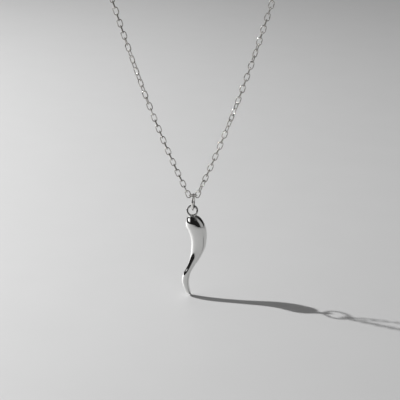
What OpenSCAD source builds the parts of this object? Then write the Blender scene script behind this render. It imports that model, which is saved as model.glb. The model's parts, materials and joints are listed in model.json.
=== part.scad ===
/* [Chain] */
// Thickness of the wire of a chain link
link_wire = 0.28; // [0.26:0.01:0.28]
// Outer width of a chain link
link_width = 1.5; // [1.49:0.01:1.52]
// Outer length of a chain link
link_length = 2.33; // [2.32:0.01:2.35]
// Distance from one link to the next along the chain
link_pitch = 1.63; // [1.62:0.01:1.64]
// Links in each strand, from the middle link to the clasp
strand_links = 120; // [112:2:120]

/* [Loop] */
// Lean of a strand from upright at the bottom of the loop, in degrees
bottom_lean = 25; // [24.5:0.5:25.5]
// Lean of a strand from upright along its straight stretch, in degrees
strand_lean = 16.7; // [16.3:0.1:17.2]

/* [Jump ring] */
// Outer diameter of the jump ring
jump_d = 4.65; // [4.6:0.05:4.8]
// Thickness of the jump ring's wire
jump_wire = 0.54; // [0.5:0.01:0.54]
// Turn of the jump ring, its front edge to the left, in degrees
jump_turn = 7; // [0:1:7]

/* [Pepper] */
// Length of the pepper from the top of its shoulder to its tip
pepper_length = 23.2; // [20:0.2:26]
// Greatest width of the pepper
pepper_width = 5.4; // [4.6:0.05:6]
// Greatest depth of the pepper from front to back
pepper_depth = 4.65; // [4:0.05:5.2]
// Outer diameter of the eye soldered on top
eye_d = 3.26; // [3.1:0.02:3.5]
// Thickness of the eye's wire
eye_wire = 0.6; // [0.5:0.02:0.64]
// Lean of the eye from upright, its top to the back, in degrees
eye_lean = 16; // [0:2:20]

/* [Clasp] */
// Thickness of the clasp's ring
clasp_wire = 1; // [0.8:0.1:1.1]
// Outer diameter of the small eye on the clasp
clasp_eye_d = 2.3; // [2.2:0.1:2.6]
// Thickness of that eye's wire
clasp_eye_wire = 0.5; // [0.4:0.05:0.5]
// Outer diameter of the ring at the end of the right strand
end_ring_d = 3.6; // [3.4:0.1:4]
// Thickness of that ring's wire
end_ring_wire = 0.6; // [0.5:0.05:0.6]

/* [Hidden] */

WIRE_FN = 24;
RING_FN = 72;

// A link's bends are half circles of this radius, joined by two straight legs
link_r = (link_width - link_wire) / 2;
link_leg = link_length - link_width;
link_reach = (link_length - link_wire) / 2;

// The middle link lies across the loop, its upper side rolled this far to the front, in degrees
middle_roll = 48;

// The middle link and what it carries sit this far behind the plane of the chain
middle_y = 0.108;

// Where the lower bend of the first link of a strand is centred, from the middle link's end
first_out = 0.1;
first_up = 0.024;

// The strand's lean eases from bottom_lean to strand_lean over these first links
ease_links = 36;
ease_power = 1.5;

// Gap between two wires that hook each other
hook_gap = 0.12;
ring_seat_gap = 0.08;
eye_gap = 0.35;

// Room between the two ends of the chain that the clasp and the end ring fill, halved
clasp_half_room = 3.85;

// Twist of each strand about its own line, between these links
// Columns: number of the link, twist in degrees
LEFT_TWIST = [
    [1, -76], [3, -90], [15, -90], [21, -45], [25, -45],
    [30, -90], [60, -90], [100, 0], [120, 0]
];
RIGHT_TWIST = [
    [1, -104], [4, -16], [5, 0], [12, 0], [14, 45], [16, 45], [19, 0],
    [24, 0], [26, 30], [28, 0], [60, 0], [100, 90], [120, 90]
];

// The top turn takes as many links as close the loop on the clasp
top_turn = (90 + strand_lean) * PI / 180;
eased_reach = walk(ease_links, strand_links)[ease_links - 1][0];
top_links = (eased_reach + (strand_links - ease_links) * link_pitch * sin(strand_lean) - clasp_half_room)
    / (link_pitch * (cos(strand_lean) / top_turn + sin(strand_lean)));
top_from = strand_links + 0.5 - top_links;

// Lean of link k of a strand from upright, outwards
function lean_at(k, top) =
    k < ease_links
        ? strand_lean + (bottom_lean - strand_lean) * pow(1 - (k - 1) / (ease_links - 1), ease_power)
        : k < top ? strand_lean
        : strand_lean - (90 + strand_lean) * (k - top) / (strand_links + 0.5 - top);

function heading(k, top) = [sin(lean_at(k, top)), cos(lean_at(k, top))];

function unit(v) = v / norm(v);

// Centres of the first links of a strand, out and up from the middle link
function walk(count, top) = [
    for (
        k = 1,
            p = [link_reach + first_out, first_up] + link_leg / 2 * heading(1, top);
        k <= count;
        p = p + link_pitch * unit(heading(k, top) + heading(k + 1, top)),
            k = k + 1
    ) p
];

PATH = walk(strand_links, top_from);

// The last wire of a strand, and the height of the middle link under the origin
strand_end = PATH[strand_links - 1] + link_reach * heading(strand_links, top_from);
middle_z = clasp_wire / 2 - strand_end[1];

// The jump ring hangs straight under the lower side of the middle link
jump_r = (jump_d - jump_wire) / 2;
hang_y = middle_y + link_r * sin(middle_roll);
jump_z = middle_z - link_r * cos(middle_roll) - (jump_r - jump_wire / 2 - link_wire / 2 - ring_seat_gap);

// The turned ring sits this far to the right, midway between the first links
jump_x = 0.05;

// The pepper swings on the lowest wire of the jump ring, its eye a little to the left of it
eye_r = (eye_d - eye_wire) / 2;
eye_x = -0.22;
swing_z = jump_z - jump_r;
eye_z = jump_wire / 2 + eye_wire / 2 + eye_gap - eye_r;
shoulder_drop = 1.55;

// Sections of the pepper, from the top down
// DOWN: share of its length, WIDE and DEEP: shares of the greatest width and depth,
// SIDE and BACK: middle of the section to the right and behind, in shares of the same two
DOWN = 0;
SIDE = 1;
WIDE = 2;
DEEP = 3;
BACK = 4;
SECTIONS = [
    [0.000, -0.059, 0.000, 0.000, -0.063],
    [0.009, -0.072, 0.284, 0.532, 0.049],
    [0.035, 0.004, 0.646, 0.741, 0.089],
    [0.072, 0.052, 0.836, 0.876, 0.050],
    [0.109, 0.081, 0.960, 0.956, 0.046],
    [0.147, 0.122, 1.000, 1.000, 0.052],
    [0.184, 0.171, 0.983, 1.000, 0.083],
    [0.258, 0.246, 0.904, 0.934, 0.118],
    [0.333, 0.274, 0.805, 0.826, 0.122],
    [0.408, 0.255, 0.730, 0.709, 0.078],
    [0.484, 0.167, 0.611, 0.611, -0.004],
    [0.559, 0.031, 0.488, 0.544, -0.083],
    [0.635, -0.139, 0.382, 0.514, -0.131],
    [0.712, -0.314, 0.385, 0.509, -0.165],
    [0.788, -0.390, 0.386, 0.501, -0.188],
    [0.865, -0.374, 0.346, 0.463, -0.186],
    [0.942, -0.272, 0.276, 0.382, -0.167],
    [0.981, -0.194, 0.177, 0.251, -0.132],
    [1.000, -0.115, 0.000, 0.000, -0.081]
];
PEPPER_SIDES = 32;
RINGS_A_ROW = 3;
last_row = len(SECTIONS) - 1;
pepper_rings = last_row * RINGS_A_ROW - 1;

// The clasp's ring fills the room that its eye and the end ring leave
clasp_eye_r = (clasp_eye_d - clasp_eye_wire) / 2;
end_ring_r = (end_ring_d - end_ring_wire) / 2;
solder_depth = 0.25;
clasp_eye_x = -strand_end[0] - hook(link_wire, clasp_eye_wire) + clasp_eye_r;
end_ring_x = strand_end[0] + hook(link_wire, end_ring_wire) - end_ring_r;
clasp_left = clasp_eye_x + clasp_eye_d / 2 - solder_depth;
clasp_right = end_ring_x - end_ring_r + hook(end_ring_wire, clasp_wire) + clasp_wire / 2;
clasp_r = (clasp_right - clasp_left - clasp_wire) / 2;
clasp_x = (clasp_right + clasp_left) / 2;
thumb_d = 0.6;
thumb_out = 0.7;

// Distance between the centre lines of two wires that hook each other
function hook(wire_a, wire_b) = (wire_a + wire_b) / 2 + hook_gap;

// A row beyond either end of the table mirrors the one inside it, so both ends close in a round pole
function row(i) =
    i < 0 ? mirrored(SECTIONS[1])
    : i > last_row ? mirrored(SECTIONS[last_row - 1])
    : SECTIONS[i];

function mirrored(section) = [
    section[DOWN], section[SIDE], -section[WIDE], -section[DEEP], section[BACK]
];

// Smooth curve through the table's rows
function blend(a, b, c, d, t) =
    b + t / 2 * (c - a + t * (2 * a - 5 * b + 4 * c - d + t * (3 * b - a - 3 * c + d)));

function section_at(u) =
    let (i = min(floor(u), last_row - 1))
        blend(row(i - 1), row(i), row(i + 1), row(i + 2), u - i);

function section_point(section, turn) = [
    section[SIDE] * pepper_width + section[WIDE] * pepper_width / 2 * cos(turn),
    section[BACK] * pepper_depth + section[DEEP] * pepper_depth / 2 * sin(turn),
    -shoulder_drop - section[DOWN] * pepper_length
];

module ring(radius, wire) {
    rotate_extrude($fn = RING_FN)
        translate([radius, 0])
            circle(d = wire, $fn = WIRE_FN);
}

// One link, upright and facing the front
module link() {
    rotate([90, 0, 0])
        for (turn = [0, 180])
            rotate([0, 0, turn]) {
                translate([0, link_leg / 2])
                    rotate_extrude(angle = 180, $fn = RING_FN)
                        translate([link_r, 0])
                            circle(d = link_wire, $fn = WIRE_FN);
                translate([link_r, 0])
                    rotate([90, 0, 0])
                        cylinder(h = link_leg, d = link_wire, center = true, $fn = WIRE_FN);
            }
}

// side is 1 for the right strand and -1 for the left one
module strand(side, twist) {
    for (k = [1:strand_links])
        translate([side * PATH[k - 1][0], 0, middle_z + PATH[k - 1][1]])
            rotate([0, side * lean_at(k, top_from), 0])
                rotate([0, 0, 90 * k + lookup(k, twist)])
                    link();
}

module chain_left() {
    color("silver")
        strand(-1, LEFT_TWIST);
}

module chain_right() {
    color("silver")
        strand(1, RIGHT_TWIST);
}

module middle_link() {
    color("silver")
        translate([0, middle_y, middle_z])
            rotate([middle_roll, 0, 0])
                rotate([0, 90, 0])
                    link();
}

module jump_ring() {
    color("silver")
        translate([jump_x, hang_y, jump_z])
            rotate([0, 90, -jump_turn])
                ring(jump_r, jump_wire);
}

module pepper_body() {
    turns = [for (s = [0:PEPPER_SIDES - 1]) 360 * s / PEPPER_SIDES];
    points = concat(
        [section_point(SECTIONS[0], 0)],
        [
            for (r = [1:pepper_rings], turn = turns)
                section_point(section_at(r / RINGS_A_ROW), turn)
        ],
        [section_point(SECTIONS[last_row], 0)]
    );
    tip = len(points) - 1;
    faces = concat(
        [for (s = [0:PEPPER_SIDES - 1]) [0, 1 + (s + 1) % PEPPER_SIDES, 1 + s]],
        [
            for (r = [0:pepper_rings - 2], s = [0:PEPPER_SIDES - 1])
                let (
                    a = 1 + r * PEPPER_SIDES + s,
                    b = 1 + r * PEPPER_SIDES + (s + 1) % PEPPER_SIDES
                )
                each [[a, b, a + PEPPER_SIDES], [b, b + PEPPER_SIDES, a + PEPPER_SIDES]]
        ],
        [
            for (s = [0:PEPPER_SIDES - 1])
                [tip - PEPPER_SIDES + s, tip - PEPPER_SIDES + (s + 1) % PEPPER_SIDES, tip]
        ]
    );
    polyhedron(points, faces);
}

module pepper() {
    color("gainsboro")
        translate([0, hang_y, swing_z]) {
            pepper_body();
            translate([eye_x, 0, eye_z])
                rotate([90 - eye_lean, 0, 0])
                    ring(eye_r, eye_wire);
        }
}

// A closed spring ring with its eye and thumb piece, flat against the neck
module clasp() {
    color("silver")
        translate([0, 0, clasp_wire / 2]) {
            translate([clasp_x, 0, 0]) {
                ring(clasp_r, clasp_wire);
                rotate([90, 0, 0])
                    translate([0, 0, clasp_r])
                        cylinder(h = clasp_wire / 2 + thumb_out, d = thumb_d, $fn = WIRE_FN);
            }
            translate([clasp_eye_x, 0, 0])
                ring(clasp_eye_r, clasp_eye_wire);
        }
}

module end_ring() {
    color("silver")
        translate([end_ring_x, 0, clasp_wire / 2])
            rotate([90, 0, 0])
                ring(end_ring_r, end_ring_wire);
}

chain_left();
chain_right();
middle_link();
jump_ring();
pepper();
clasp();
end_ring();
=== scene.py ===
"""Looks of the chili pepper charm necklace: chain, jump ring and polished pepper in silver."""

import json
from math import cos, pi, radians, sin

import bmesh
import bpy
import numpy as np
from mathutils import Matrix, Vector


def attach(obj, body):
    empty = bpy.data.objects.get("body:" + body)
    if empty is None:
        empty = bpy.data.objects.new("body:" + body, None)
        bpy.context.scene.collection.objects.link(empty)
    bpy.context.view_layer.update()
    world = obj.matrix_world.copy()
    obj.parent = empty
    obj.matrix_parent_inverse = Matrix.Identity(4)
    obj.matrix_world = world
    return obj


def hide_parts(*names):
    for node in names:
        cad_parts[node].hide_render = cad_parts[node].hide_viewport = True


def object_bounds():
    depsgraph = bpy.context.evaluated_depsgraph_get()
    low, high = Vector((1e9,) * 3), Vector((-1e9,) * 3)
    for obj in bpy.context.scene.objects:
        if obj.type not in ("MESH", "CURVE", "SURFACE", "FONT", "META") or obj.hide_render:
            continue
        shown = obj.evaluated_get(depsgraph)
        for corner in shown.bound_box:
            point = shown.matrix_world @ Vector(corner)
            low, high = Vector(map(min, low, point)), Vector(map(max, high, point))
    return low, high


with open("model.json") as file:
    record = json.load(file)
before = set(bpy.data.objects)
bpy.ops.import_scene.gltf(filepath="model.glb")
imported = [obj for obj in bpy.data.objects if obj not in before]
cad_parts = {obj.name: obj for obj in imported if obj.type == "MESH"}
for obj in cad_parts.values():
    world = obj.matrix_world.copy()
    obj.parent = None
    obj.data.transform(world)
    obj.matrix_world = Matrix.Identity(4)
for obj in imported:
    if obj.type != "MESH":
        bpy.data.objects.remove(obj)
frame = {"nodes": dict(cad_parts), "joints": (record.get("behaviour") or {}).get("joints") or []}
cad_low, cad_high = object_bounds()

# Silver
# Every metal surface shares one group: faint polishing marks that change the gloss,
# and a very low relief that bends reflections the way hand-polished silver does.
MARK_DETAIL = 3.0
RELIEF_DEPTH = 0.0001
polish = bpy.data.node_groups.new("polish", "ShaderNodeTree")
for socket in ("Scale", "Gloss low", "Gloss high", "Relief"):
    polish.interface.new_socket(socket, in_out="INPUT", socket_type="NodeSocketFloat")
polish.interface.new_socket("Tone", in_out="OUTPUT", socket_type="NodeSocketFloat")
polish.interface.new_socket("Roughness", in_out="OUTPUT", socket_type="NodeSocketFloat")
polish.interface.new_socket("Normal", in_out="OUTPUT", socket_type="NodeSocketVector")
p_in = polish.nodes.new("NodeGroupInput")
p_out = polish.nodes.new("NodeGroupOutput")
p_place = polish.nodes.new("ShaderNodeTexCoord")
p_noise = polish.nodes.new("ShaderNodeTexNoise")
p_noise.inputs["Detail"].default_value = MARK_DETAIL
p_range = polish.nodes.new("ShaderNodeMapRange")
p_bump = polish.nodes.new("ShaderNodeBump")
p_bump.inputs["Distance"].default_value = RELIEF_DEPTH
join = polish.links.new
join(p_place.outputs["Object"], p_noise.inputs["Vector"])
join(p_in.outputs["Scale"], p_noise.inputs["Scale"])
join(p_noise.outputs["Fac"], p_range.inputs["Value"])
join(p_in.outputs["Gloss low"], p_range.inputs["To Min"])
join(p_in.outputs["Gloss high"], p_range.inputs["To Max"])
join(p_noise.outputs["Fac"], p_bump.inputs["Height"])
join(p_in.outputs["Relief"], p_bump.inputs["Strength"])
join(p_noise.outputs["Fac"], p_out.inputs["Tone"])
join(p_range.outputs["Result"], p_out.inputs["Roughness"])
join(p_bump.outputs["Normal"], p_out.inputs["Normal"])


def silver(name, dark, light, scale, gloss_low, gloss_high, relief):
    """A silver whose tone and gloss wander between two values."""
    material = bpy.data.materials.new(name)
    material.use_nodes = True
    tree = material.node_tree
    shader = tree.nodes["Principled BSDF"]
    shader.inputs["Metallic"].default_value = 1.0
    group = tree.nodes.new("ShaderNodeGroup")
    group.node_tree = polish
    group.inputs["Scale"].default_value = scale
    group.inputs["Gloss low"].default_value = gloss_low
    group.inputs["Gloss high"].default_value = gloss_high
    group.inputs["Relief"].default_value = relief
    ramp = tree.nodes.new("ShaderNodeValToRGB")
    for element, position, tone in zip(ramp.color_ramp.elements, (0.3, 0.7), (dark, light)):
        element.position = position
        element.color = (*tone, 1)
    tree.links.new(group.outputs["Tone"], ramp.inputs["Fac"])
    tree.links.new(ramp.outputs["Color"], shader.inputs["Base Color"])
    tree.links.new(group.outputs["Roughness"], shader.inputs["Roughness"])
    tree.links.new(group.outputs["Normal"], shader.inputs["Normal"])
    return material


# Chain
# A fine cable chain of oval links in drawn silver wire, each link turned a quarter from the
# last, with a slow twist along each strand. Every strand is one body of interlocked links,
# and the middle link between them is shown as the solid itself.
nodes = frame["nodes"]
pivots = {joint["name"]: Vector(joint["pos_m"]) for joint in frame["joints"]}
MM = 0.001
WIRE_R = 0.14 * MM
WIRE_SIDES = 6
BEND_R = 0.61 * MM
BEND_STEPS = 7
LEG = 0.83 * MM
PITCH = 1.63 * MM
LINKS = 120
# Each strand lies level half a link past its last one
LEVEL_AT = LINKS + 0.5
# Up to this link the strand's lean in degrees eases from the bottom one to the straight one
EASE_LINKS = 36
EASE_POWER = 1.5
BOTTOM_LEAN = 25
STRAND_LEAN = 16.7
# Half the room left at the top for the clasp
HALF_ROOM = 3.85 * MM
# Middle of the first link's lower bend, out and up from the axis of the pepper's swing
FIRST = Vector((1.125, 0.024)) * MM
# Columns: number of the link, twist in degrees
LEFT_TWIST = (
    (1, -76), (3, -90), (15, -90), (21, -45), (25, -45),
    (30, -90), (60, -90), (100, 0), (120, 0),
)
RIGHT_TWIST = (
    (1, -104), (4, -16), (5, 0), (12, 0), (14, 45), (16, 45), (19, 0),
    (24, 0), (26, 30), (28, 0), (60, 0), (100, 90), (120, 90),
)


def lean(k, top):
    """Lean of link k from upright, in radians: eased at first, straight, then over the top."""
    if k < EASE_LINKS:
        share = 1 - (k - 1) / (EASE_LINKS - 1)
        return radians(STRAND_LEAN + (BOTTOM_LEAN - STRAND_LEAN) * share**EASE_POWER)
    if k < top:
        return radians(STRAND_LEAN)
    return radians(STRAND_LEAN - (90 + STRAND_LEAN) * (k - top) / (LEVEL_AT - top))


def walk(count, top):
    """Centres of the first links of a strand, out and up from the middle link."""
    headings = [Vector((sin(lean(k, top)), cos(lean(k, top)))) for k in range(1, count + 2)]
    places = [FIRST + headings[0] * LEG / 2]
    for here, there in zip(headings[: count - 1], headings[1:]):
        places.append(places[-1] + PITCH * (here + there).normalized())
    return places


def finished(name, bm, material, smooth=True):
    """The bmesh as a named object at the origin, with its normals outward."""
    bmesh.ops.recalc_face_normals(bm, faces=bm.faces)
    mesh = bpy.data.meshes.new(name)
    bm.to_mesh(mesh)
    bm.free()
    if smooth:
        mesh.shade_smooth()
    mesh.materials.append(material)
    piece = bpy.data.objects.new(name, mesh)
    bpy.context.scene.collection.objects.link(piece)
    return piece


# The link from which the strand turns over, so that its end stops at the room for the clasp
slope = radians(STRAND_LEAN)
turn = pi / 2 + slope
reach = walk(EASE_LINKS, LINKS)[-1].x + (LINKS - EASE_LINKS) * PITCH * sin(slope) - HALF_ROOM
top_from = LEVEL_AT - reach / (PITCH * (cos(slope) / turn + sin(slope)))
path = walk(LINKS, top_from)

link_mesh = bpy.data.meshes.new("link")
bm = bmesh.new()
for end in (1, -1):
    ring = bmesh.ops.create_circle(
        bm,
        segments=WIRE_SIDES,
        radius=WIRE_R,
        matrix=Matrix.Translation((end * BEND_R, 0, end * LEG / 2)),
    )
    edges = list({e for v in ring["verts"] for e in v.link_edges})
    bmesh.ops.spin(
        bm,
        geom=ring["verts"] + edges,
        cent=(0, 0, end * LEG / 2),
        axis=(0, -1, 0),
        angle=pi,
        steps=BEND_STEPS,
        use_duplicate=False,
    )
open_edges = [e for e in bm.edges if e.is_boundary]
for side in (1, -1):
    leg_ends = [e for e in open_edges if side * e.verts[0].co.x > 0]
    bmesh.ops.bridge_loops(bm, edges=leg_ends)
bmesh.ops.recalc_face_normals(bm, faces=bm.faces)
bm.to_mesh(link_mesh)
bm.free()

chain_silver = silver(
    "chain_silver",
    dark=(0.36, 0.35, 0.33),
    light=(0.7, 0.68, 0.65),
    scale=900,
    gloss_low=0.08,
    gloss_high=0.2,
    relief=0.1,
)
for side, twist, node in ((-1, LEFT_TWIST, "chain_left"), (1, RIGHT_TWIST, "chain_right")):
    bm = bmesh.new()
    start = pivots["hanger_swing"].z
    for k in range(1, LINKS + 1):
        first = len(bm.verts)
        bm.from_mesh(link_mesh)
        bm.verts.ensure_lookup_table()
        roll = radians(90 * k + np.interp(k, *zip(*twist)))
        place = (
            Matrix.Translation((side * path[k - 1].x, 0, start + path[k - 1].y))
            @ Matrix.Rotation(side * lean(k, top_from), 4, "Y")
            @ Matrix.Rotation(roll, 4, "Z")
        )
        bmesh.ops.transform(bm, matrix=place, verts=bm.verts[first:])
    strand = finished(node + "_links", bm, chain_silver)
    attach(strand, "necklace")
    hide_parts(node)
bpy.data.meshes.remove(link_mesh)
nodes["middle_link"].data.materials.clear()
nodes["middle_link"].data.materials.append(chain_silver)

# Jump ring, clasp and end ring
# The closed ring of thicker polished wire that carries the pepper, and at the top of the loop
# the clasp with its soldered eye and the ring it goes through. They are the solids themselves.
ring_silver = silver(
    "ring_silver",
    dark=(0.72, 0.71, 0.69),
    light=(0.82, 0.81, 0.79),
    scale=700,
    gloss_low=0.05,
    gloss_high=0.12,
    relief=0.06,
)
for node in ("jump_ring", "clasp", "end_ring"):
    nodes[node].data.materials.clear()
    nodes[node].data.materials.append(ring_silver)

# Pepper
# A cast and mirror-polished chili pepper: a round shoulder, then a body that bows to the right
# and thins into a tail that curls back under. Its round eye is soldered on the shoulder.
LENGTH = 23.2 * MM
WIDTH = 5.4 * MM
DEPTH = 4.65 * MM
SHOULDER_DROP = 1.55 * MM
AROUND = 96
STEPS_PER_SECTION = 6
AT_POLE = 1e-6
SMOOTHINGS = 40
SMOOTH_FROM = 0.3 * MM
SMOOTH_BLEND = 1.2 * MM
EYE_SIDE = -0.22 * MM
EYE_DROP = 0.41 * MM
EYE_R = 1.33 * MM
EYE_STEPS = 72
EYE_WIRE_R = 0.3 * MM
EYE_WIRE_SIDES = 24
EYE_LEAN = radians(16)
# Columns: down as a share of the length, middle to the right, width, depth, and middle to the
# back, each as a share of the greatest width or depth
SECTIONS = np.array((
    (0.000, -0.059, 0.000, 0.000, -0.063),
    (0.009, -0.072, 0.284, 0.532, 0.049),
    (0.035, 0.004, 0.646, 0.741, 0.089),
    (0.072, 0.052, 0.836, 0.876, 0.050),
    (0.109, 0.081, 0.960, 0.956, 0.046),
    (0.147, 0.122, 1.000, 1.000, 0.052),
    (0.184, 0.171, 0.983, 1.000, 0.083),
    (0.258, 0.246, 0.904, 0.934, 0.118),
    (0.333, 0.274, 0.805, 0.826, 0.122),
    (0.408, 0.255, 0.730, 0.709, 0.078),
    (0.484, 0.167, 0.611, 0.611, -0.004),
    (0.559, 0.031, 0.488, 0.544, -0.083),
    (0.635, -0.139, 0.382, 0.514, -0.131),
    (0.712, -0.314, 0.385, 0.509, -0.165),
    (0.788, -0.390, 0.386, 0.501, -0.188),
    (0.865, -0.374, 0.346, 0.463, -0.186),
    (0.942, -0.272, 0.276, 0.382, -0.167),
    (0.981, -0.194, 0.177, 0.251, -0.132),
    (1.000, -0.115, 0.000, 0.000, -0.081),
))
LAST_ROW = len(SECTIONS) - 1
# One more row past each end, mirrored, so that the shape rounds over its top and its tip
mirror = np.array((1, 1, -1, -1, 1))
rows = np.vstack((SECTIONS[1] * mirror, SECTIONS, SECTIONS[-2] * mirror))
hang = Vector((0, *pivots["charm_swing"].yz))


def section(u):
    """Down, middle, width, depth and setback of the pepper, u rows below its top."""
    i = min(int(u), LAST_ROW - 1)
    a, b, c, d = rows[i : i + 4]
    t = u - i
    return b + t / 2 * (c - a + t * (2 * a - 5 * b + 4 * c - d + t * (3 * b - a - 3 * c + d)))


bm = bmesh.new()
bmesh.ops.create_uvsphere(
    bm, u_segments=AROUND, v_segments=LAST_ROW * STEPS_PER_SECTION, radius=1
)
for v in bm.verts:
    from_top = Vector((0, 0, 1)).angle(v.co) / pi
    down, middle, wide, deep, back = section(from_top * LAST_ROW)
    round_axis = Vector((v.co.x, v.co.y))
    round_axis = round_axis.normalized() if round_axis.length > AT_POLE else Vector((0, 0))
    v.co = hang + Vector((
        middle * WIDTH + wide * WIDTH / 2 * round_axis.x,
        back * DEPTH + deep * DEPTH / 2 * round_axis.y,
        -SHOULDER_DROP - down * LENGTH,
    ))
# Even out the back and blend it into the front
shaped = [v.co.copy() for v in bm.verts]
for _ in range(SMOOTHINGS):
    bmesh.ops.smooth_vert(
        bm, verts=bm.verts, factor=0.5, use_axis_x=True, use_axis_y=True, use_axis_z=True
    )
for v, co in zip(bm.verts, shaped):
    share = min(max((co.y - hang.y - SMOOTH_FROM) / SMOOTH_BLEND, 0), 1)
    v.co = co.lerp(v.co, share**2 * (3 - 2 * share))
eye_middle = hang + Vector((EYE_SIDE, 0, -EYE_DROP))
eye_side = Matrix.Translation(eye_middle + Vector((EYE_R, 0, 0)))
wire = bmesh.ops.create_circle(
    bm,
    segments=EYE_WIRE_SIDES,
    radius=EYE_WIRE_R,
    matrix=eye_side @ Matrix.Rotation(-EYE_LEAN, 4, "X"),
)
edges = list({e for v in wire["verts"] for e in v.link_edges})
bmesh.ops.spin(
    bm,
    geom=wire["verts"] + edges,
    cent=eye_middle,
    axis=(0, cos(EYE_LEAN), -sin(EYE_LEAN)),
    angle=2 * pi,
    steps=EYE_STEPS,
    use_merge=True,
)
pepper_silver = silver(
    "pepper_silver",
    dark=(0.69, 0.69, 0.68),
    light=(0.73, 0.73, 0.72),
    scale=150,
    gloss_low=0.03,
    gloss_high=0.07,
    relief=0.03,
)
pepper = finished("pepper_polished", bm, pepper_silver)
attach(pepper, "charm")
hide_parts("pepper")

# Floor
# A satin sheet of pale paper, wide enough to run past the view on every side.
# The tip of the hanging pepper just clears it.
TIP_ROOM = 0.05 * MM
FLOOR_Z = cad_low.z - TIP_ROOM
FLOOR_HALF = 4
paper = bpy.data.materials.new("paper")
paper.use_nodes = True
tree = paper.node_tree
shader = tree.nodes["Principled BSDF"]
shader.inputs["Roughness"].default_value = 0.62
shader.inputs["Specular IOR Level"].default_value = 1.0
shader.inputs["IOR"].default_value = 1.8
place = tree.nodes.new("ShaderNodeTexCoord")
grain = tree.nodes.new("ShaderNodeTexNoise")
grain.inputs["Scale"].default_value = 60
ramp = tree.nodes.new("ShaderNodeValToRGB")
ramp.color_ramp.elements[0].color = (0.53, 0.53, 0.53, 1)
ramp.color_ramp.elements[1].color = (0.55, 0.55, 0.55, 1)
tree.links.new(place.outputs["Object"], grain.inputs["Vector"])
tree.links.new(grain.outputs["Fac"], ramp.inputs["Fac"])
tree.links.new(ramp.outputs["Color"], shader.inputs["Base Color"])
bm = bmesh.new()
at_floor = Matrix.Translation((0, 0, FLOOR_Z))
bmesh.ops.create_grid(bm, x_segments=2, y_segments=2, size=FLOOR_HALF, matrix=at_floor)
floor = finished("floor", bm, paper, smooth=False)

# Light
# One small hard lamp almost a metre away, to the left and a little behind. It points at the
# floor left of the necklace, so its light falls off toward the right and the back.
LAMP_PLACE = Vector((-0.759, 0.276, FLOOR_Z + 0.563))
LAMP_AIM = Vector((-0.069, 0.007, FLOOR_Z))
lamp = bpy.data.lights.new("key", "AREA")
lamp.shape = "DISK"
lamp.size = 0.02
lamp.spread = radians(120)
lamp.energy = 5.75
key = bpy.data.objects.new("key", lamp)
key.location = LAMP_PLACE
key.rotation_euler = (LAMP_AIM - LAMP_PLACE).to_track_quat("-Z", "Y").to_euler()
bpy.context.scene.collection.objects.link(key)

# Studio
# The room that the silver mirrors: a bright wall and a small window on the left over a low
# dark stretch, a dim ceiling, dark in front, and grey between dark on the right.
BARE_ROOM = 0.5
PAST_THE_FLOOR = 0.6
# Each stretch is painted over the ones before it. Columns: azimuth from and to (0 toward the
# viewer, growing to the right), elevation from and to, width of the soft edge, all in degrees,
# then brightness
STRETCHES = (
    (-200, 200, 46, 100, 14, 0.1),
    (-172, -62, -30, 42, 22, 0.9),
    (-116, -62, 12, 22, 8, 2.4),
    (-104, -40, -20, 15, 6, 0.02),
    (-128, -98, -6, 13, 5, 0.02),
    (-52, 80, -17, 50, 10, 0.015),
    (60, 115, -30, 48, 18, 0.42),
    (103, 162, -20, 46, 14, 0.02),
    (150, 184, -20, 40, 12, 0.06),
)
stretch = bpy.data.node_groups.new("stretch", "ShaderNodeTree")
for socket in ("Azimuth", "Elevation", "From", "To", "Low", "High", "Edge", "Bright", "Under"):
    stretch.interface.new_socket(socket, in_out="INPUT", socket_type="NodeSocketFloat")
stretch.interface.new_socket("Light", in_out="OUTPUT", socket_type="NodeSocketFloat")
s_in = stretch.nodes.new("NodeGroupInput")
s_out = stretch.nodes.new("NodeGroupOutput")
cover = None
for angle, bound, inward in (
    ("Azimuth", "From", 1),
    ("Azimuth", "To", -1),
    ("Elevation", "Low", 1),
    ("Elevation", "High", -1),
):
    past = stretch.nodes.new("ShaderNodeMath")
    past.operation = "SUBTRACT"
    stretch.links.new(s_in.outputs[angle], past.inputs[0])
    stretch.links.new(s_in.outputs[bound], past.inputs[1])
    share = stretch.nodes.new("ShaderNodeMath")
    share.operation = "DIVIDE"
    stretch.links.new(past.outputs[0], share.inputs[0])
    stretch.links.new(s_in.outputs["Edge"], share.inputs[1])
    edge = stretch.nodes.new("ShaderNodeMapRange")
    edge.interpolation_type = "SMOOTHSTEP"
    edge.inputs["From Min"].default_value = -inward / 2
    edge.inputs["From Max"].default_value = inward / 2
    stretch.links.new(share.outputs[0], edge.inputs["Value"])
    if cover:
        both = stretch.nodes.new("ShaderNodeMath")
        both.operation = "MULTIPLY"
        stretch.links.new(cover, both.inputs[0])
        stretch.links.new(edge.outputs["Result"], both.inputs[1])
        cover = both.outputs[0]
    else:
        cover = edge.outputs["Result"]
paint = stretch.nodes.new("ShaderNodeMix")
stretch.links.new(cover, paint.inputs["Factor"])
stretch.links.new(s_in.outputs["Under"], paint.inputs["A"])
stretch.links.new(s_in.outputs["Bright"], paint.inputs["B"])
stretch.links.new(paint.outputs["Result"], s_out.inputs["Light"])

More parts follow.
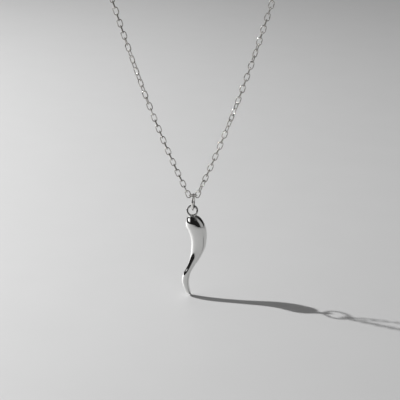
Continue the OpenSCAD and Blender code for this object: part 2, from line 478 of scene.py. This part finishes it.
world = bpy.data.worlds.new("studio")
world.use_nodes = True
tree = world.node_tree
background = tree.nodes["Background"]
direction = tree.nodes.new("ShaderNodeTexCoord")
axes = tree.nodes.new("ShaderNodeSeparateXYZ")
tree.links.new(direction.outputs["Generated"], axes.inputs["Vector"])


def room_math(operation, *values):
    """A math node of the world's tree: a value is a number or another node's output."""
    node = tree.nodes.new("ShaderNodeMath")
    node.operation = operation
    for socket, value in zip(node.inputs, values):
        if isinstance(value, (int, float)):
            socket.default_value = value
        else:
            tree.links.new(value, socket)
    return node.outputs[0]


front = room_math("MULTIPLY", axes.outputs["Y"], -1)
azimuth = room_math("DEGREES", room_math("ARCTAN2", axes.outputs["X"], front))
elevation = room_math("DEGREES", room_math("ARCSINE", axes.outputs["Z"]))
light = None
for values in STRETCHES:
    group = tree.nodes.new("ShaderNodeGroup")
    group.node_tree = stretch
    tree.links.new(azimuth, group.inputs["Azimuth"])
    tree.links.new(elevation, group.inputs["Elevation"])
    for socket, value in zip(("From", "To", "Low", "High", "Edge", "Bright"), values):
        group.inputs[socket].default_value = value
    if light:
        tree.links.new(light, group.inputs["Under"])
    else:
        group.inputs["Under"].default_value = BARE_ROOM
    light = group.outputs["Light"]
# Past the floor's edge the view itself is an even grey
rays = tree.nodes.new("ShaderNodeLightPath")
seen = tree.nodes.new("ShaderNodeMix")
seen.inputs["B"].default_value = PAST_THE_FLOOR
tree.links.new(rays.outputs["Is Camera Ray"], seen.inputs["Factor"])
tree.links.new(light, seen.inputs["A"])
tree.links.new(seen.outputs["Result"], background.inputs["Color"])
bpy.context.scene.world = world

# Camera
# It looks down on the lower part of the necklace from the front, at the photograph's angle.
AIM = Vector((1.87 * MM, 0, pivots["hanger_swing"].z - 1.235 * MM))
DISTANCE = 303 * MM
ELEVATION = radians(19)
lens = bpy.data.cameras.new("camera")
lens.sensor_width = 36
lens.lens = 102.1
lens.clip_start = 0.01
camera = bpy.data.objects.new("camera", lens)
toward = Vector((0, cos(ELEVATION), -sin(ELEVATION)))
camera.location = AIM - toward * DISTANCE
camera.rotation_euler = toward.to_track_quat("-Z", "Y").to_euler()
bpy.context.scene.collection.objects.link(camera)
bpy.context.scene.camera = camera
bpy.context.scene.view_settings.view_transform = "Standard"
